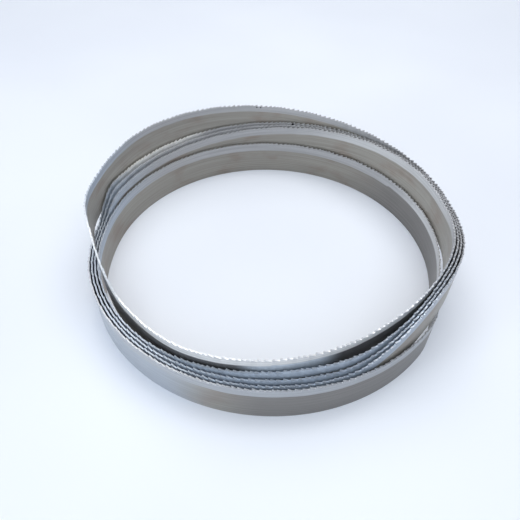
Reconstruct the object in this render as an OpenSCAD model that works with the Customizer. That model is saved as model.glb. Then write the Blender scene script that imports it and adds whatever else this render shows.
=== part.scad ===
// Wide steel band saw blade, welded into an endless loop and coiled for storage.
// One strip of toothed steel runs five times round, teeth up on every loop.
// The origin is the centre of the coil, on the surface that the lowest loop stands on.

/* [Band] */
// Length of the endless loop, measured along the strip
blade_length = 4670; // [3400:10:6400]
// Width of the strip, from its back edge to the tooth tips
band_width = 34; // [20:1:54]
// Thickness of the strip
thickness = 1.1; // [0.7:0.1:1.6]

/* [Teeth] */
// Widest spacing of the teeth in each group
coarse_pitch = 5.1; // [4.4:0.1:6.4]
// Narrowest spacing of the teeth in each group
fine_pitch = 3.2; // [2.6:0.1:4.2]
// Depth of the gullet before a tooth of middling spacing
gullet_depth = 1.5; // [1.2:0.1:3]
// Distance that a set tooth leans out of the strip, to either side
tooth_set = 0.3; // [0.1:0.05:0.6]
// Place of the tip along its tooth, 0 for an upright cutting face
tip_share = 0.16; // [0.05:0.01:0.5]

/* [Coil] */
// Number of loops that the strip is coiled into
loops = 5; // [3:2:7]
// Air between the set teeth of neighbouring loops
loop_gap = 0.5; // [0.2:0.1:2]
// Air between two loops where one passes over the other
crossing_gap = 1.2; // [0.8:0.2:8]
// Angle from the front to the place where the outer loop passes under the rest
under_angle = 62; // [60:1:84]
// Angle from the front to the place where the top loop passes over the rest
over_angle = 82; // [66:1:88]
// Angle that a loop takes to change its place in the coil
change_angle = 26; // [26:1:40]
// Widest air between the top loop and its neighbour, on both sides of the front
slack = 3; // [0:0.5:8]
// Height of the top loop left of the front, as a share of a full crossing
top_dip = 0.3; // [0:0.05:1]
// Height of the top loop right of the front, as a share of a full crossing
front_height = 0.64; // [0:0.02:1]
// Height of the innermost raised loop at the right of the back, as a share of a full crossing
back_height = 0.8; // [0.5:0.02:1]
// Height of the same loop at the left of the back, as a share of a full crossing
landing_height = 0.25; // [0:0.05:0.5]
// Further height there of each loop outside that one, as a share of a full crossing
landing_step = 0.11; // [0:0.01:0.2]
// Height of the top loop at the left of the back, as a share of a full crossing
top_height = 1.22; // [1:0.02:1.4]

/* [Hidden] */

steel = [0.55, 0.55, 0.53];

// Teeth come in mirrored groups, and a group is two ribs long
teeth_per_rib = 4;
teeth_per_group = 2 * teeth_per_rib;
mean_pitch = (coarse_pitch + fine_pitch) / 2;
pitch_swing = (coarse_pitch - fine_pitch) / (2 * cos(180 / teeth_per_group));
rib_count = 2 * round(blade_length / (teeth_per_group * mean_pitch));
// Repeat of the set along the teeth: to one side, to the other, straight
set_pattern = [1, -1, 0];

// Half turns of the coil, front and back in turn
half_turns = 2 * loops;
outer_place = loops - 1;
lift = band_width + crossing_gap;
// Part of a change of place over which the strips can lie one above the other
level_share = 0.72;
// Angle between the places where the loop that passes under reaches one loop and the next
crossing_step = 3.5;
// Angles from the front and from the back between which most of each climb lies
early_angle = 50;
late_angle = 18;
early_back_angle = 82;
late_back_angle = 72;
// The top loop reaches its greatest height sooner than the others land
top_back_angle = 48;
// Drop, right of the back, from each raised loop to the next one outward, as a share of a full crossing
outer_drop = 0.03;

// Spacing of the loops, with room for the flats between ribs that stand in for the curve
flat_radius = blade_length / (2 * PI * loops);
rib_sag = pow(teeth_per_rib * mean_pitch, 2) / (8 * flat_radius);
loop_spacing = thickness + 2 * tooth_set + rib_sag + loop_gap;

function wrap(i, n) = i - n * floor(i / n);
function mix(from, to, share) = from + (to - from) * share;
function ease(share) = (1 - cos(180 * min(max(share, 0), 1))) / 2;

// Half turn k starts where the strip changes its place for the kth time
function is_front(k) = wrap(k, 2) == 0;
function change_at(k) = 360 * floor(k / 2) + (is_front(k) ? -over_angle : under_angle);
function half_turn(a) = let (k = 2 * floor((a + over_angle) / 360)) a < change_at(k + 1) ? k : k + 1;

// Place of half turn k in the coil, 0 for the innermost, and its height along the way
function place(k) = wrap(k, loops);
function change_height(k) =
    is_front(k) ? (wrap(k, half_turns) == 0 ? lift : 0) : (wrap(k, half_turns) == loops ? 0 : lift);
function front_share(p) = front_height * pow((outer_place - p) / outer_place, 2);
function early_height(k) =
    let (p = place(k))
    is_front(k) ? (p == 0 ? lift * top_dip : 0) : p == 0 ? 0 : lift * (back_height - outer_drop * (p - 1));
function late_height(k) =
    let (p = place(k))
    lift * (
        is_front(k) ? front_share(p)
            : p == 0 ? 0
            : p == outer_place ? top_height
            : landing_height + landing_step * (p - 1)
    );
function early_at(k) = 360 * floor(k / 2) + (is_front(k) ? -early_angle : 180 - early_back_angle);
function late_at(k) =
    360 * floor(k / 2)
        + (is_front(k) ? late_angle : 180 + (place(k) == outer_place ? top_back_angle : late_back_angle));

// Place and height of the strip at course angle a, which runs on through all the loops
function change_share(a, k) = ease((a - change_at(k)) / change_angle + 0.5);
function place_at(a) =
    let (k = half_turn(a), near_end = a > (change_at(k) + change_at(k + 1)) / 2, c = near_end ? k + 1 : k)
    mix(place(c - 1), place(c), change_share(a, c));
// Where a loop leaves the height that it has at one change of place, and where it is at that of the next
level_angle = level_share * change_angle / 2;
function leaves_at(k) =
    change_at(k) + level_angle - (!is_front(k) && place(k) > 0 ? crossing_step * (place(k) - 1) : 0);
function arrives_at(k) =
    change_at(k + 1) - level_angle
        + (is_front(k) && place(k) > 0 ? crossing_step * (outer_place - 1 - place(k)) : 0);
function climb(a, from, to, low, high) = mix(low, high, ease((a - from) / (to - from)));
function height_at(a) =
    let (k = half_turn(a))
    a < early_at(k) ? climb(a, leaves_at(k), early_at(k), change_height(k), early_height(k))
        : a < late_at(k) ? climb(a, early_at(k), late_at(k), early_height(k), late_height(k))
        : climb(a, late_at(k), arrives_at(k), late_height(k), change_height(k + 1));
// The top loop hangs clear of its neighbour on both sides of the front, and lies close to it between
slack_sharpness = 4;
function slack_at(a) =
    let (k = half_turn(a), share = (a - change_at(k)) / (change_at(k + 1) - change_at(k)))
    wrap(k, half_turns) == 0 ? slack * pow(sin(360 * share), slack_sharpness) : 0;

// Centre line of the back edge, for a coil of the given mean radius
function course_point(a, radius) =
    let (r = radius + (place_at(a) - outer_place / 2) * loop_spacing - slack_at(a))
    [r * sin(a), -r * cos(a), height_at(a)];
course_step = 3;
course_steps = 360 * loops / course_step;
function step_length(i, radius) =
    norm(course_point((i + 1) * course_step, radius) - course_point(i * course_step, radius));
function course_length(radius) =
    [for (i = [0 : course_steps - 1]) step_length(i, radius)] * [for (i = [0 : course_steps - 1]) 1];

// Mean radius at which the whole course, with its climbs, has the length of the blade
coil_radius = flat_radius - (course_length(flat_radius) - blade_length) / (2 * PI * loops);

// Course angle for a distance along the strip
distances = [
    for (i = 0, d = 0; i <= course_steps; d = d + step_length(i, coil_radius), i = i + 1)
        [d, i * course_step]
];
whole_course = distances[course_steps][0];
function rib_angle(i) = lookup(whole_course * i / rib_count, distances);

// Teeth between two ribs, each from its own gullet to the next
function pitch(j) = mean_pitch + pitch_swing * cos(360 * (j + 0.5) / teeth_per_group);
pitches = [for (j = [0 : teeth_per_group - 1]) pitch(j)];
function span(from, to) = from >= to ? 0 : pitches[from] + span(from + 1, to);
function gullet_share(j) =
    let (first = teeth_per_rib * floor(j / teeth_per_rib)) span(first, j) / (teeth_per_rib * mean_pitch);
function tooth_share(j) = gullet_share(j) + tip_share * pitches[j] / (teeth_per_rib * mean_pitch);
gullet_shares = [for (j = [0 : teeth_per_group - 1]) gullet_share(j)];
tip_shares = [for (j = [0 : teeth_per_group - 1]) tooth_share(j)];
gullet_depths = [for (j = [0 : teeth_per_group - 1]) gullet_depth * pitches[j] / mean_pitch];

// A rib is where the strip bends: its place, and the way across the strip there
ribs = [for (i = [0 : rib_count - 1]) course_point(rib_angle(i), coil_radius)];
across = [for (i = [0 : rib_count - 1]) [sin(rib_angle(i)), -cos(rib_angle(i)), 0]];

// Point of the strip between two ribs: side is -1 on the inner face and 1 on the outer
function strip_point(i, share, side, height, lean) =
    let (next = wrap(i + 1, rib_count))
    mix(ribs[i], ribs[next], share)
        + mix(across[i], across[next], share) * (side * thickness / 2 + lean)
        + [0, 0, height];

// Points of one rib and its teeth, inner and outer in turn
points_per_rib = 2 + 4 * teeth_per_rib;
function rib_points(i) = [
    for (side = [-1, 1]) strip_point(i, 0, side, 0, 0),
    for (j = [0 : teeth_per_rib - 1])
        let (
            g = j + teeth_per_rib * wrap(i, 2),
            lean = tooth_set * set_pattern[wrap(teeth_per_rib * i + j, len(set_pattern))]
        )
        each [
            for (side = [-1, 1]) strip_point(i, gullet_shares[g], side, band_width - gullet_depths[g], 0),
            for (side = [-1, 1]) strip_point(i, tip_shares[g], side, band_width, lean)
        ]
];

// Numbers of those points, where side is 0 on the inner face and 1 on the outer
function back_number(i, side) = points_per_rib * wrap(i, rib_count) + side;
function gullet_number(i, j, side) =
    j < teeth_per_rib
        ? points_per_rib * wrap(i, rib_count) + 2 + 4 * j + side
        : points_per_rib * wrap(i + 1, rib_count) + 2 + side;
function tip_number(i, j, side) = gullet_number(i, j, side) + 2;

// Triangles of one side: a fan over the strip below the gullets, and one for each tooth
function side_triangles(i, side) = [
    [back_number(i, side), back_number(i + 1, side), gullet_number(i, teeth_per_rib, side)],
    for (j = [teeth_per_rib - 1 : -1 : 0])
        [back_number(i, side), gullet_number(i, j + 1, side), gullet_number(i, j, side)],
    for (j = [0 : teeth_per_rib - 1])
        [gullet_number(i, j, side), gullet_number(i, j + 1, side), tip_number(i, j, side)]
];
function turned(triangles) = [for (t = triangles) [t[2], t[1], t[0]]];

// Two triangles across the strip, from one edge point to the next along it
function edge_triangles(inner_a, outer_a, inner_b, outer_b) = [
    [inner_a, outer_b, outer_a],
    [inner_a, inner_b, outer_b]
];
function tooth_edges(i, j) = [
    each edge_triangles(gullet_number(i, j, 0), gullet_number(i, j, 1), tip_number(i, j, 0), tip_number(i, j, 1)),
    each edge_triangles(
        tip_number(i, j, 0), tip_number(i, j, 1), gullet_number(i, j + 1, 0), gullet_number(i, j + 1, 1))
];
function rib_triangles(i) = [
    each turned(side_triangles(i, 1)),
    each side_triangles(i, 0),
    each edge_triangles(back_number(i + 1, 0), back_number(i + 1, 1), back_number(i, 0), back_number(i, 1)),
    for (j = [0 : teeth_per_rib - 1]) each tooth_edges(i, j)
];

module blade() {
    color(steel)
        polyhedron(
            points = [for (i = [0 : rib_count - 1]) each rib_points(i)],
            faces = [for (i = [0 : rib_count - 1]) each rib_triangles(i)]
        );
}

blade();
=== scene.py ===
"""Wide steel band saw blade, coiled into five loops, dressed for its picture."""
import math

import bmesh
import bpy
from mathutils import Matrix, Vector


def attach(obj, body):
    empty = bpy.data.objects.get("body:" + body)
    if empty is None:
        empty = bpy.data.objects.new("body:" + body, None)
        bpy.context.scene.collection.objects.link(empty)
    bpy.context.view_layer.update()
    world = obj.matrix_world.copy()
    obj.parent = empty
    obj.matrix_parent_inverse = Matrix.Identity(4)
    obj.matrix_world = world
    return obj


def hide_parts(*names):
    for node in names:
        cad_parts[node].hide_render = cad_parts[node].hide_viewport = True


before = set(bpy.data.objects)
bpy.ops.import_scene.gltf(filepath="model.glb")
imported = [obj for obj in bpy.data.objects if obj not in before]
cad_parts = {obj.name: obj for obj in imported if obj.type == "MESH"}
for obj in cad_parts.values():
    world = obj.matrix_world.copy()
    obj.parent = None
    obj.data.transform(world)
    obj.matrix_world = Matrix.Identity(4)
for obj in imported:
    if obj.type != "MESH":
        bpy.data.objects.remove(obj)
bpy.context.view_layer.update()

# Sizes in mm and angles in degrees, the same as in the part's source
MM = 0.001
BLADE_LENGTH = 4670.0
BAND_WIDTH = 34.0
THICKNESS = 1.1
COARSE_PITCH = 5.1
FINE_PITCH = 3.2
GULLET_DEPTH = 1.5
TOOTH_SET = 0.3
TIP_SHARE = 0.16
LOOPS = 5
LOOP_GAP = 0.5
CROSSING_GAP = 1.2
UNDER_ANGLE = 62.0
OVER_ANGLE = 82.0
CHANGE_ANGLE = 26.0
SLACK = 3.0
SLACK_SHARPNESS = 4
TOP_DIP = 0.3
FRONT_HEIGHT = 0.64
BACK_HEIGHT = 0.8
OUTER_DROP = 0.03
LANDING_HEIGHT = 0.25
LANDING_STEP = 0.11
TOP_HEIGHT = 1.22
LEVEL_SHARE = 0.72
CROSSING_STEP = 3.5
EARLY_ANGLE = 50.0
LATE_ANGLE = 18.0
EARLY_BACK_ANGLE = 82.0
LATE_BACK_ANGLE = 72.0
TOP_BACK_ANGLE = 48.0

TEETH_PER_RIB = 4
TEETH_PER_GROUP = 2 * TEETH_PER_RIB
SET_PATTERN = (1, -1, 0)
MEAN_PITCH = (COARSE_PITCH + FINE_PITCH) / 2
PITCH_SWING = (COARSE_PITCH - FINE_PITCH) / (2 * math.cos(math.pi / TEETH_PER_GROUP))
GROUPS = round(BLADE_LENGTH / (TEETH_PER_GROUP * MEAN_PITCH))
HALF_TURNS = 2 * LOOPS
OUTER_PLACE = LOOPS - 1
LEVEL_ANGLE = LEVEL_SHARE * CHANGE_ANGLE / 2
LIFT = BAND_WIDTH + CROSSING_GAP
FLAT_RADIUS = BLADE_LENGTH / (2 * math.pi * LOOPS)
RIB_SAG = (TEETH_PER_RIB * MEAN_PITCH) ** 2 / (8 * FLAT_RADIUS)
LOOP_SPACING = THICKNESS + 2 * TOOTH_SET + RIB_SAG + LOOP_GAP

# One tooth from its gullet to the next: share of the pitch, share of the gullet's depth
TOOTH_OUTLINE = (
    (0.0, 1.0), (0.09, 0.93), (0.14, 0.66), (TIP_SHARE, 0.0), (0.42, 0.3), (0.76, 0.76),
)
ROOT_LINE = BAND_WIDTH - 2.6
EDGE_STRIP_LINE = BAND_WIDTH - 8.6
BACK_ROUNDING = 0.16
BACK_THICKNESS_SHARE = 0.74
SHARP_CORNER = math.radians(32)

# How near two places count as one: at the ends of a run, between runs and in the coil
END_REACH = 0.0001
RUN_JOIN = 0.002
COIL_JOIN = 0.01


# Course of the coil. Its angle runs on over all the loops and is 0 at the front. Half turn
# k is at the front where k is even, and has place k modulo LOOPS, counted outward from 0.
def mix(low, high, share):
    return low + (high - low) * share


def ease(share):
    """Smooth rise from 0 to 1 that starts and ends level."""
    return (1 - math.cos(math.pi * min(max(share, 0.0), 1.0))) / 2


def is_front(k):
    return k % 2 == 0


def change_at(k):
    """Angle of the crossing at which half turn k begins."""
    return 360 * (k // 2) + (-OVER_ANGLE if is_front(k) else UNDER_ANGLE)


def half_turn(angle):
    k = 2 * math.floor((angle + OVER_ANGLE) / 360)
    return k if angle < change_at(k + 1) else k + 1


def change_height(k):
    """Height in the crossing at which half turn k begins, under or over the others."""
    if is_front(k):
        return LIFT if k % HALF_TURNS == 0 else 0.0
    return 0.0 if k % HALF_TURNS == LOOPS else LIFT


def early_height(k):
    """Height soon after that crossing."""
    place = k % LOOPS
    if is_front(k):
        return LIFT * TOP_DIP if place == 0 else 0.0
    return 0.0 if place == 0 else LIFT * (BACK_HEIGHT - OUTER_DROP * (place - 1))


def late_height(k):
    """Height some way before the next crossing."""
    place = k % LOOPS
    if is_front(k):
        return LIFT * FRONT_HEIGHT * ((OUTER_PLACE - place) / OUTER_PLACE) ** 2
    if place == 0:
        return 0.0
    if place == OUTER_PLACE:
        return LIFT * TOP_HEIGHT
    return LIFT * (LANDING_HEIGHT + LANDING_STEP * (place - 1))


def early_at(k):
    return 360 * (k // 2) + (-EARLY_ANGLE if is_front(k) else 180 - EARLY_BACK_ANGLE)


def late_at(k):
    back = TOP_BACK_ANGLE if k % LOOPS == OUTER_PLACE else LATE_BACK_ANGLE
    return 360 * (k // 2) + (LATE_ANGLE if is_front(k) else 180 + back)


def place_at(angle):
    """Place among the strands, which moves by one in each crossing."""
    k = half_turn(angle)
    change = k + 1 if angle > (change_at(k) + change_at(k + 1)) / 2 else k
    share = ease((angle - change_at(change)) / CHANGE_ANGLE + 0.5)
    return mix((change - 1) % LOOPS, change % LOOPS, share)


def leaves_at(k):
    """Angle at which half turn k starts its climb or fall out of the crossing."""
    place = k % LOOPS
    sooner = CROSSING_STEP * (place - 1) if not is_front(k) and place > 0 else 0.0
    return change_at(k) + LEVEL_ANGLE - sooner


def arrives_at(k):
    """Angle at which it is level again for the next crossing."""
    place = k % LOOPS
    later = CROSSING_STEP * (OUTER_PLACE - 1 - place) if is_front(k) and place > 0 else 0.0
    return change_at(k + 1) - LEVEL_ANGLE + later


def height_at(angle):
    k = half_turn(angle)
    stations = (
        (leaves_at(k), change_height(k)),
        (early_at(k), early_height(k)),
        (late_at(k), late_height(k)),
        (arrives_at(k), change_height(k + 1)),
    )
    leg = 0 if angle < early_at(k) else 1 if angle < late_at(k) else 2
    (start, low), (end, high) = stations[leg:leg + 2]
    return mix(low, high, ease((angle - start) / (end - start)))


def slack_at(angle):
    """How far the top loop hangs inward, left and right of the front."""
    k = half_turn(angle)
    if k % HALF_TURNS:
        return 0.0
    share = (angle - change_at(k)) / (change_at(k + 1) - change_at(k))
    return SLACK * math.sin(2 * math.pi * share) ** SLACK_SHARPNESS


def course_point(angle, radius):
    r = radius + (place_at(angle) - OUTER_PLACE / 2) * LOOP_SPACING - slack_at(angle)
    turn = math.radians(angle)
    return Vector((r * math.sin(turn), -r * math.cos(turn), height_at(angle)))


def distances_along(radius, step=3.0):
    """Distance along the course at each step of the angle, over all the loops."""
    table = [(0.0, 0.0)]
    before = course_point(0.0, radius)
    for i in range(1, round(360 * LOOPS / step) + 1):
        here = course_point(i * step, radius)
        table.append((table[-1][0] + (here - before).length, i * step))
        before = here
    return table


FLAT_COURSE = distances_along(FLAT_RADIUS)[-1][0]
COIL_RADIUS = FLAT_RADIUS - (FLAT_COURSE - BLADE_LENGTH) / (2 * math.pi * LOOPS)
COURSE = distances_along(COIL_RADIUS)
STRIP_LENGTH = GROUPS * TEETH_PER_GROUP * MEAN_PITCH


def course_angles(places):
    """Course angle for each distance along the flat strip, given in rising order."""
    stretch = COURSE[-1][0] / STRIP_LENGTH
    angles, leg = {}, 1
    for distance in places:
        along = distance * stretch
        while leg < len(COURSE) - 1 and COURSE[leg][0] < along:
            leg += 1
        (d0, a0), (d1, a1) = COURSE[leg - 1], COURSE[leg]
        angles[distance] = mix(a0, a1, (along - d0) / (d1 - d0))
    return angles


# Toothed strip
def verts_of(geom):
    return [v for v in geom if isinstance(v, bmesh.types.BMVert)]


def tooth_size(tooth):
    """Pitch of a tooth and depth of its gullet, which swing within each group of teeth."""
    swing = math.cos(2 * math.pi * (tooth % TEETH_PER_GROUP + 0.5) / TEETH_PER_GROUP)
    pitch = MEAN_PITCH + PITCH_SWING * swing
    return pitch, GULLET_DEPTH * pitch / MEAN_PITCH


def toothed_line(bm, teeth):
    """The toothed edge as a drawn line, with each tooth leaning to its own side."""
    line, start = [], 0.0
    for tooth in range(teeth):
        pitch, depth = tooth_size(tooth)
        lean = TOOTH_SET * SET_PATTERN[tooth % len(SET_PATTERN)]
        for along, down in TOOTH_OUTLINE:
            place = (start + along * pitch, lean * (1 - down), BAND_WIDTH - down * depth)
            line.append(bm.verts.new(place))
        start += pitch
    first_depth = TOOTH_OUTLINE[0][1] * tooth_size(0)[1]
    line.append(bm.verts.new((start, 0.0, BAND_WIDTH - first_depth)))
    return [bm.edges.new(pair) for pair in zip(line, line[1:])], start


def is_end(face, length):
    places = [v.co.x for v in face.verts]
    return max(places) < END_REACH or min(places) > length - END_REACH


def toothed_run(bm):
    """A flat run of teeth that repeats all along the band, drawn down to its back edge."""
    edges, length = toothed_line(bm, TEETH_PER_GROUP * len(SET_PATTERN))
    for height in (ROOT_LINE, EDGE_STRIP_LINE, BACK_ROUNDING, 0.0):
        drawn = bmesh.ops.extrude_edge_only(bm, edges=edges)["geom"]
        row = set(verts_of(drawn))
        for v in row:
            v.co.y = 0.0
            v.co.z = height
        edges = [e for e in drawn if isinstance(e, bmesh.types.BMEdge) and set(e.verts) <= row]
    inner = list(bm.verts)
    thick = bmesh.ops.extrude_face_region(bm, geom=list(bm.faces))["geom"]
    bmesh.ops.translate(bm, verts=inner, vec=(0, -THICKNESS / 2, 0))
    bmesh.ops.translate(bm, verts=verts_of(thick), vec=(0, THICKNESS / 2, 0))
    for v in bm.verts:
        if v.co.z < BACK_ROUNDING / 2:
            v.co.y *= BACK_THICKNESS_SHARE
    ends = [face for face in bm.faces if is_end(face, length)]
    bmesh.ops.delete(bm, geom=ends, context="FACES_ONLY")
    return length


def flat_band(bm):
    """The whole band, still straight, from copies of one run set end to end."""
    length = toothed_run(bm)
    run = list(bm.verts) + list(bm.edges) + list(bm.faces)
    for copy in range(1, GROUPS // len(SET_PATTERN)):
        made = bmesh.ops.duplicate(bm, geom=run)["geom"]
        bmesh.ops.translate(bm, verts=verts_of(made), vec=(copy * length, 0, 0))
    bmesh.ops.remove_doubles(bm, verts=bm.verts, dist=RUN_JOIN)


def mark_band(bm):
    """UV maps of the band: its distance along and height up in m, and from inside to outside."""
    sheet = bm.loops.layers.uv.new("band")
    sides = bm.loops.layers.uv.new("sides")
    for face in bm.faces:
        for loop in face.loops:
            place = loop.vert.co
            loop[sheet].uv = (place.x * MM, place.z * MM)
            loop[sides].uv = (0.5 + place.y / THICKNESS, 0.0)


def along_band(v):
    """Distance of a vertex along the straight band, rounded so that a rib shares one value."""
    return round(v.co.x, 4)


def coil_band(bm):
    """Bends the straight band round the course of the coil and joins its ends."""
    angles = course_angles(sorted({along_band(v) for v in bm.verts}))
    for v in bm.verts:
        angle = angles[along_band(v)]
        turn = math.radians(angle)
        across = Vector((math.sin(turn), -math.cos(turn), 0))
        v.co = (course_point(angle, COIL_RADIUS) + across * v.co.y + Vector((0, 0, v.co.z))) * MM
    bmesh.ops.remove_doubles(bm, verts=bm.verts, dist=COIL_JOIN * MM)
    bmesh.ops.recalc_face_normals(bm, faces=bm.faces)


def smooth_band(bm):
    for face in bm.faces:
        face.smooth = True
    for edge in bm.edges:
        edge.smooth = len(edge.link_faces) == 2 and edge.calc_face_angle() < SHARP_CORNER


# Materials
class Finish:
    """A material under construction, with short calls for the nodes that it needs."""

    def __init__(self, name):
        self.material = bpy.data.materials.new(name)
        self.material.use_nodes = True
        self.nodes = self.material.node_tree.nodes
        self.links = self.material.node_tree.links
        self.nodes.clear()
        self.output = self.nodes.new("ShaderNodeOutputMaterial")
        self.shader = self.nodes.new("ShaderNodeBsdfPrincipled")
        self.links.new(self.shader.outputs[0], self.output.inputs["Surface"])

    def put(self, value, socket):
        if isinstance(value, bpy.types.NodeSocket):
            self.links.new(value, socket)
        else:
            socket.default_value = value

    def math(self, kind, a, b=0.0, c=0.0):
        node = self.nodes.new("ShaderNodeMath")
        node.operation = kind
        for value, socket in zip((a, b, c), node.inputs):
            self.put(value, socket)
        return node.outputs[0]

    def times(self, a, b):
        return self.math("MULTIPLY", a, b)

    def span(self, value, start, end, low=0.0, high=1.0):
        """Smooth step from low to high as the value goes from start to end."""
        node = self.nodes.new("ShaderNodeMapRange")
        node.interpolation_type = "SMOOTHSTEP"
        self.put(value, node.inputs["Value"])
        self.put(start, node.inputs["From Min"])
        self.put(end, node.inputs["From Max"])
        self.put(low, node.inputs["To Min"])
        self.put(high, node.inputs["To Max"])
        return node.outputs[0]

    def noise(self, place, scale, detail, roughness=0.5):
        node = self.nodes.new("ShaderNodeTexNoise")
        self.put(place, node.inputs["Vector"])
        node.inputs["Scale"].default_value = scale
        node.inputs["Detail"].default_value = detail
        node.inputs["Roughness"].default_value = roughness
        return node.outputs[0]

    def blend(self, share, under, over, kind="MIX"):
        node = self.nodes.new("ShaderNodeMix")
        node.data_type = "RGBA"
        node.blend_type = kind
        self.put(share, node.inputs[0])
        self.put(under, node.inputs[6])
        self.put(over, node.inputs[7])
        return node.outputs[2]

    def place(self, x, y, z=0.0):
        node = self.nodes.new("ShaderNodeCombineXYZ")
        for value, socket in zip((x, y, z), node.inputs):
            self.put(value, socket)
        return node.outputs[0]

    def parts_of(self, place):
        node = self.nodes.new("ShaderNodeSeparateXYZ")
        self.put(place, node.inputs[0])
        return node.outputs

    def uv_map(self, name):
        node = self.nodes.new("ShaderNodeUVMap")
        node.uv_map = name
        return node.outputs[0]

    def own_place(self):
        """Place of a point in its object's own coordinates."""
        return self.nodes.new("ShaderNodeTexCoord").outputs["Object"]

    def bump(self, height, strength, distance, under=None):
        node = self.nodes.new("ShaderNodeBump")
        node.inputs["Strength"].default_value = strength
        node.inputs["Distance"].default_value = distance
        self.put(height, node.inputs["Height"])
        if under is not None:
            self.put(under, node.inputs["Normal"])
        return node.outputs[0]


class BandFinish(Finish):
    """A finish laid out by the band's own measures: distance along it and height up it, in m."""

    def __init__(self, name):
        super().__init__(name)
        self.sheet = self.uv_map("band")
        self.along, self.up, _ = self.parts_of(self.sheet)
        self.outside = self.span(self.parts_of(self.uv_map("sides"))[0], 0.3, 0.7)

    def streaks(self, along_scale, up_scale, detail, roughness=0.5):
        """Noise with one scale along the band and another up it."""
        place = self.place(self.times(self.along, along_scale), self.times(self.up, up_scale))
        return self.noise(place, 1.0, detail, roughness)

    def over_stretch(self, start, full, fading, end):
        """1 from full to fading, and down to 0 at start and end."""
        rise = self.span(self.along, start, full)
        return self.times(rise, self.span(self.along, end, fading))

    def over_join(self, start, end, slope):
        """1 on a stretch that runs over the place where the distances start again."""
        rise = self.span(self.along, start, start + slope)
        return self.math("ADD", rise, self.span(self.along, end, end - slope))


def rgb(red, green, blue):
    """Colour as a picture gives it, 0 to 255, turned to the scene's own linear values."""
    shares = [value / 255 for value in (red, green, blue)]
    linear = [s / 12.92 if s < 0.04 else ((s + 0.055) / 1.055) ** 2.4 for s in shares]
    return (*linear, 1.0)


# Stretches of the band that look different, as distances along it in m. Most carry painted
# light and shade. Four values are start, full, fading and end. Start and end alone run over
# the join of the distances.
# Painted shade on the body, from the front of the outermost strand round to the right
SHADE_STRETCH = (1.82, 1.87, 2.18, 2.26)
# Painted highlight on the outermost strand's body at the left front
HIGHLIGHT_STRETCH = (1.66, 1.72, 1.79, 1.84)
# Painted highlights on the edge strip at the right of the coil
EDGE_HIGHLIGHTS = ((0.17, 0.23, 0.34, 0.44), (2.02, 2.08, 2.14, 2.19))
# Stretch of the lowest strand, where the painted bluish light is weaker
LOWEST_STRETCH = (1.6, 1.7, 2.05, 2.15)
GLINT_STRETCH = (1.45, 1.49, 1.54, 1.59)
# The top loop's front, which carries a painted highlight on its edge strip and painted shade on
# its outer face
BRIGHT_START, BRIGHT_END, BRIGHT_SLOPE = 4.43, 0.17, 0.08
NARROW_START, NARROW_END, NARROW_SLOPE = 4.0, 0.25, 0.12
# Painted light on the top loop's outer face in the middle of the front
LIT_START, LIT_END, LIT_SLOPE = 4.655, 0.05, 0.02

# Places and sizes of the marks, in m. A spot has its distance along, height and radius.
SPOTS = (
    (1.3689, 0.0317, 0.0018),
    (1.3692, 0.0294, 0.0012),
    (4.2229, 0.0316, 0.0008),
    (4.2189, 0.0316, 0.0008),
)
SPOT_CORE = 0.7
BORDER_LINE = (BAND_WIDTH - 8.9) * MM
BORDER_WANDER = 0.0012
BORDER_START, BORDER_FULL = -0.0005, 0.0007
NARROWING = 0.0022
WELD_PLACE = 2.1951
WELD_WIDTH = 0.0006
WELD_STEP = 0.0009
TIPS_START, TIPS_FULL = (BAND_WIDTH - 2.2) * MM, (BAND_WIDTH - 0.3) * MM
GLINT_LOW, GLINT_FULL = 0.0262, 0.029
# Side of the coil that faces the front, where the edge strip gets a painted bluish light and its
# tips painted shade
FRONT_TURN = 0.6
FRONT_START, FRONT_FULL = 0.05, -0.08

# How much of a tone is laid on, for the stains and for the painted light and shade
STAIN_SHARE = 0.75
TIP_SPARKLE = 0.05
FRONT_TIP_SHADE = 0.4
EDGE_HIGHLIGHT_SHARE = 0.5
HIGHLIGHT_TIPS_LOSS = 0.25
LOWEST_FRONT_LIGHT_LOSS = 0.75

BODY_GREY = rgb(159, 155, 147)
BODY_STAIN = rgb(146, 133, 122)
# Body in painted shade, also laid on the tooth tips toward the front
BODY_SHADE = rgb(131, 128, 125)
# Painted deep shade for the top loop's outer face
BODY_DEEP_SHADE = rgb(94, 94, 96)
# Painted light, pale and bluish, for the top loop's outer face
BODY_LIT = rgb(196, 205, 214)
# Painted highlight for the body
BODY_HIGHLIGHT = rgb(172, 178, 186)
EDGE_STRIP_GREY = rgb(180, 180, 181)
# Edge strip in painted bluish light
EDGE_STRIP_FRONT_LIGHT = rgb(178, 189, 202)
# Painted highlight for the edge strip
EDGE_STRIP_HIGHLIGHT = rgb(229, 229, 228)
# Painted white highlight for the tooth tips
TIP_HIGHLIGHT_WHITE = rgb(236, 235, 230)
DARK_MARK = rgb(20, 20, 22)
FLOOR_DARKER = rgb(229, 234, 243)
FLOOR_LIGHTER = rgb(234, 239, 247)
FLOOR_BOUNCE = rgb(190, 192, 196)
ROOM_COLOUR = rgb(221, 230, 250)


def strip_share(f):
    """1 on the tool steel along the teeth and 0 on the body, with a border that wanders."""
    wander = f.streaks(55, 0.0, 1.0)
    beyond_weld = f.span(f.along, WELD_PLACE, WELD_PLACE + WELD_WIDTH)
    narrow = f.over_join(NARROW_START, NARROW_END, NARROW_SLOPE)
    border = f.math("MULTIPLY_ADD", wander, BORDER_WANDER, BORDER_LINE)
    border = f.math("MULTIPLY_ADD", beyond_weld, -WELD_STEP, border)
    border = f.math("MULTIPLY_ADD", narrow, NARROWING, border)
    return f.span(f.math("SUBTRACT", f.up, border), BORDER_START, BORDER_FULL)


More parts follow.
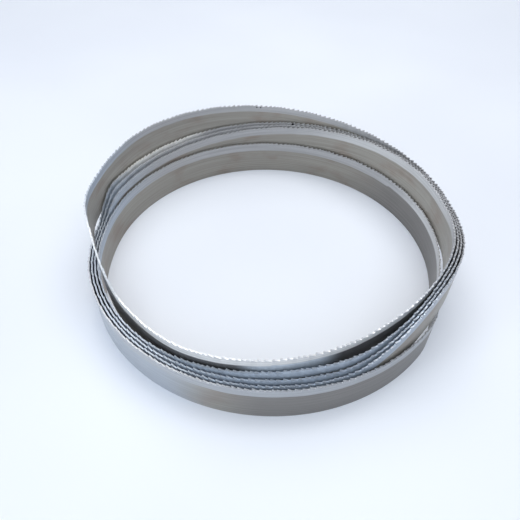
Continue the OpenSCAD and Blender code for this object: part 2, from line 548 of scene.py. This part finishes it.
def body_tone(f, patches, bright):
    """Grey rolled steel with faint stains, and painted shade and painted light on some
    stretches.
    """
    body = f.blend(f.span(patches, 0.46, 0.7, 0.0, STAIN_SHARE), BODY_GREY, BODY_STAIN)
    # Painted shade: the body darker on one stretch at the front and right
    body = f.blend(f.over_stretch(*SHADE_STRETCH), body, BODY_SHADE)
    # Painted shadow: the top loop's outer face dark along its front, below the edge strip
    body = f.blend(f.times(bright, f.outside), body, BODY_DEEP_SHADE)
    # Painted light: the outer face pale in the middle of the top loop's front
    lit_middle = f.over_join(LIT_START, LIT_END, LIT_SLOPE)
    body = f.blend(f.times(lit_middle, f.outside), body, BODY_LIT)
    # Painted highlight: the body paler on the outermost strand at the left front
    return f.blend(f.over_stretch(*HIGHLIGHT_STRETCH), body, BODY_HIGHLIGHT)


def edge_tone(f, tips, bright):
    """Tool steel, with a painted bluish light toward the front, painted shade on the tips there
    and painted highlights on some stretches.
    """
    x, y, _ = f.parts_of(f.own_place())
    # Painted light: a bluish cast on the edge strip toward the front of the coil, weaker on the
    # lowest strand
    front = f.span(f.math("MULTIPLY_ADD", x, FRONT_TURN, y), FRONT_START, FRONT_FULL)
    lowest = f.over_stretch(*LOWEST_STRETCH)
    front = f.times(front, f.math("MULTIPLY_ADD", lowest, -LOWEST_FRONT_LIGHT_LOSS, 1.0))
    edge = f.blend(front, EDGE_STRIP_GREY, EDGE_STRIP_FRONT_LIGHT)
    # Painted shade: the tooth tips darker toward the front, except on the top loop's front
    tip_shade = f.math("MULTIPLY_ADD", bright, -FRONT_TIP_SHADE, FRONT_TIP_SHADE)
    edge = f.blend(f.times(f.times(front, tips), tip_shade), edge, BODY_SHADE)
    # Painted highlights: the edge strip pale on stretches at the right and on the top loop's
    # front, less on the tips
    highlight = f.math("ADD", *[f.over_stretch(*stretch) for stretch in EDGE_HIGHLIGHTS])
    highlight = f.math("MAXIMUM", f.times(highlight, EDGE_HIGHLIGHT_SHARE), bright)
    highlight = f.times(highlight, f.math("MULTIPLY_ADD", tips, -HIGHLIGHT_TIPS_LOSS, 1.0))
    return f.blend(highlight, edge, EDGE_STRIP_HIGHLIGHT)


def whiteness(f, tips, bright):
    """Share of painted white highlight: a little sparkle on the tooth tips, in patches, and the
    glint at the left.
    """
    patchy = f.span(f.streaks(260, 60, 1.0), 0.42, 0.62, 0.12, 1.0)
    # Painted sparkle on the tooth tips, none on the top loop's front
    white = f.math("MULTIPLY_ADD", bright, -TIP_SPARKLE, TIP_SPARKLE)
    white = f.times(tips, f.times(white, patchy))
    glint = f.times(f.over_stretch(*GLINT_STRETCH), f.span(f.up, GLINT_LOW, GLINT_FULL))
    return f.math("MAXIMUM", white, glint)


def with_spots(f, steel):
    """The same steel with the dark spots near the teeth."""
    for along, up, radius in SPOTS:
        offset = f.nodes.new("ShaderNodeVectorMath")
        offset.operation = "DISTANCE"
        f.put(f.sheet, offset.inputs[0])
        offset.inputs[1].default_value = (along, up, 0.0)
        spot = f.span(offset.outputs["Value"], radius, SPOT_CORE * radius)
        steel = f.blend(spot, steel, DARK_MARK)
    return steel


def band_steel():
    """Rolled spring steel with a brighter strip of tool steel along the teeth."""
    f = BandFinish("band_steel")
    lines = f.streaks(9, 900, 3.0, 0.6)
    fine_lines = f.streaks(40, 4200, 2.0)
    patches = f.streaks(22, 40, 3.0, 0.55)
    strip = strip_share(f)
    tips = f.span(f.up, TIPS_START, TIPS_FULL)
    # The top loop's front: painted highlight on its edge strip, painted shade on its outer face,
    # no painted sparkle or shade on its tips
    bright = f.over_join(BRIGHT_START, BRIGHT_END, BRIGHT_SLOPE)

    steel = f.blend(strip, body_tone(f, patches, bright), edge_tone(f, tips, bright))
    steel = with_spots(f, f.blend(whiteness(f, tips, bright), steel, TIP_HIGHLIGHT_WHITE))
    shade = f.span(lines, 0.3, 0.7, 0.86, 1.1)
    steel = f.blend(1.0, steel, f.place(shade, shade, shade), "MULTIPLY")
    f.put(steel, f.shader.inputs["Base Color"])

    f.shader.inputs["Metallic"].default_value = 0.35
    f.shader.inputs["Anisotropic"].default_value = 0.35
    rough = f.span(fine_lines, 0.3, 0.7, 0.32, 0.46)
    f.put(f.math("MULTIPLY_ADD", strip, -0.04, rough), f.shader.inputs["Roughness"])
    grain = f.bump(fine_lines, 0.2, 0.00004)
    f.put(f.bump(patches, 0.1, 0.0004, grain), f.shader.inputs["Normal"])
    return f.material


def pale_floor():
    """Matt floor, pale where it is seen or mirrored, duller in the light that it gives back."""
    f = Finish("pale_floor")
    cloud = f.noise(f.own_place(), 3.0, 2.0)
    colour = f.blend(f.span(cloud, 0.3, 0.7), FLOOR_DARKER, FLOOR_LIGHTER)
    ray = f.nodes.new("ShaderNodeLightPath")
    seen = f.math("MAXIMUM", ray.outputs["Is Camera Ray"], ray.outputs["Is Glossy Ray"])
    f.put(f.blend(seen, FLOOR_BOUNCE, colour), f.shader.inputs["Base Color"])
    f.shader.inputs["Roughness"].default_value = 0.6
    f.shader.inputs["Specular IOR Level"].default_value = 0.2
    return f.material


# Pieces
def add_piece(name, bm, material):
    mesh = bpy.data.meshes.new(name)
    bm.to_mesh(mesh)
    bm.free()
    piece = bpy.data.objects.new(name, mesh)
    bpy.context.scene.collection.objects.link(piece)
    piece.data.materials.append(material)
    return piece


FLOOR_RADIUS = 1.9

strip = bmesh.new()
flat_band(strip)
mark_band(strip)
coil_band(strip)
smooth_band(strip)
band = add_piece("coiled_band", strip, band_steel())
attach(band, "root")
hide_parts("blade")

ground = bmesh.new()
bmesh.ops.create_circle(ground, cap_ends=True, radius=FLOOR_RADIUS, segments=128)
floor = add_piece("floor", ground, pale_floor())


# Light
def add_lamp(name, place, size, power, tint):
    """A round lamp that faces the middle of the floor."""
    data = bpy.data.lights.new(name, "AREA")
    data.shape = "DISK"
    data.size = size
    data.energy = power
    data.color = tint
    lamp = bpy.data.objects.new(name, data)
    bpy.context.scene.collection.objects.link(lamp)
    lamp.location = place
    lamp.rotation_euler = (-Vector(place)).to_track_quat("-Z", "Y").to_euler()


WARM, COOL = (1.0, 0.985, 0.95), (0.86, 0.94, 1.0)
add_lamp("ceiling_light", (-0.4, 0.0, 1.9), 1.6, 11, WARM)
add_lamp("window_light", (0.8, 0.1, 1.8), 1.4, 10, WARM)
add_lamp("room_light", (0.0, -1.6, 1.5), 1.6, 12, COOL)
add_lamp("low_light", (-1.35, -0.9, 0.25), 0.4, 10, COOL)
add_lamp("back_light", (0.0, 0.9, 1.7), 1.6, 12, WARM)

ROOM_GLOW = 0.3
ROOM_SEEN = 0.95


def pale_room():
    """The room around: a dim glow on what it lights, pale where it is seen or mirrored."""
    world = bpy.data.worlds.new("pale_room")
    world.use_nodes = True
    nodes, links = world.node_tree.nodes, world.node_tree.links
    back = nodes["Background"]
    back.inputs["Color"].default_value = ROOM_COLOUR
    ray = nodes.new("ShaderNodeLightPath")
    seen = nodes.new("ShaderNodeMath")
    seen.operation = "MAXIMUM"
    links.new(ray.outputs["Is Camera Ray"], seen.inputs[0])
    links.new(ray.outputs["Is Glossy Ray"], seen.inputs[1])
    strength = nodes.new("ShaderNodeMapRange")
    strength.inputs["To Min"].default_value = ROOM_GLOW
    strength.inputs["To Max"].default_value = ROOM_SEEN
    links.new(seen.outputs[0], strength.inputs["Value"])
    links.new(strength.outputs[0], back.inputs["Strength"])
    return world


bpy.context.scene.world = pale_room()

# View. The unit is the radius of the innermost circle that the band stands on.
VIEW_UNIT = (COIL_RADIUS - 2 * LOOP_SPACING - THICKNESS / 2) * MM
VIEW_PLACE = Vector((-0.059, -2.261, 2.275)) * VIEW_UNIT
VIEW_DOWN = math.radians(45.14)
VIEW_ROLL = math.radians(0.97)
SENSOR_WIDTH = 36.0
PICTURE_PIXELS = 520
FOCAL_PIXELS = 500

camera_data = bpy.data.cameras.new("camera")
camera_data.sensor_width = SENSOR_WIDTH
camera_data.lens = SENSOR_WIDTH * FOCAL_PIXELS / PICTURE_PIXELS
camera_data.clip_start = 0.01
camera = bpy.data.objects.new("camera", camera_data)
bpy.context.scene.collection.objects.link(camera)
ahead = Vector((0, math.cos(VIEW_DOWN), -math.sin(VIEW_DOWN)))
camera.location = VIEW_PLACE
level = ahead.to_track_quat("-Z", "Y").to_matrix().to_4x4()
camera.rotation_euler = (level @ Matrix.Rotation(VIEW_ROLL, 4, "Z")).to_euler()
bpy.context.scene.camera = camera
bpy.context.scene.view_settings.view_transform = "Standard"
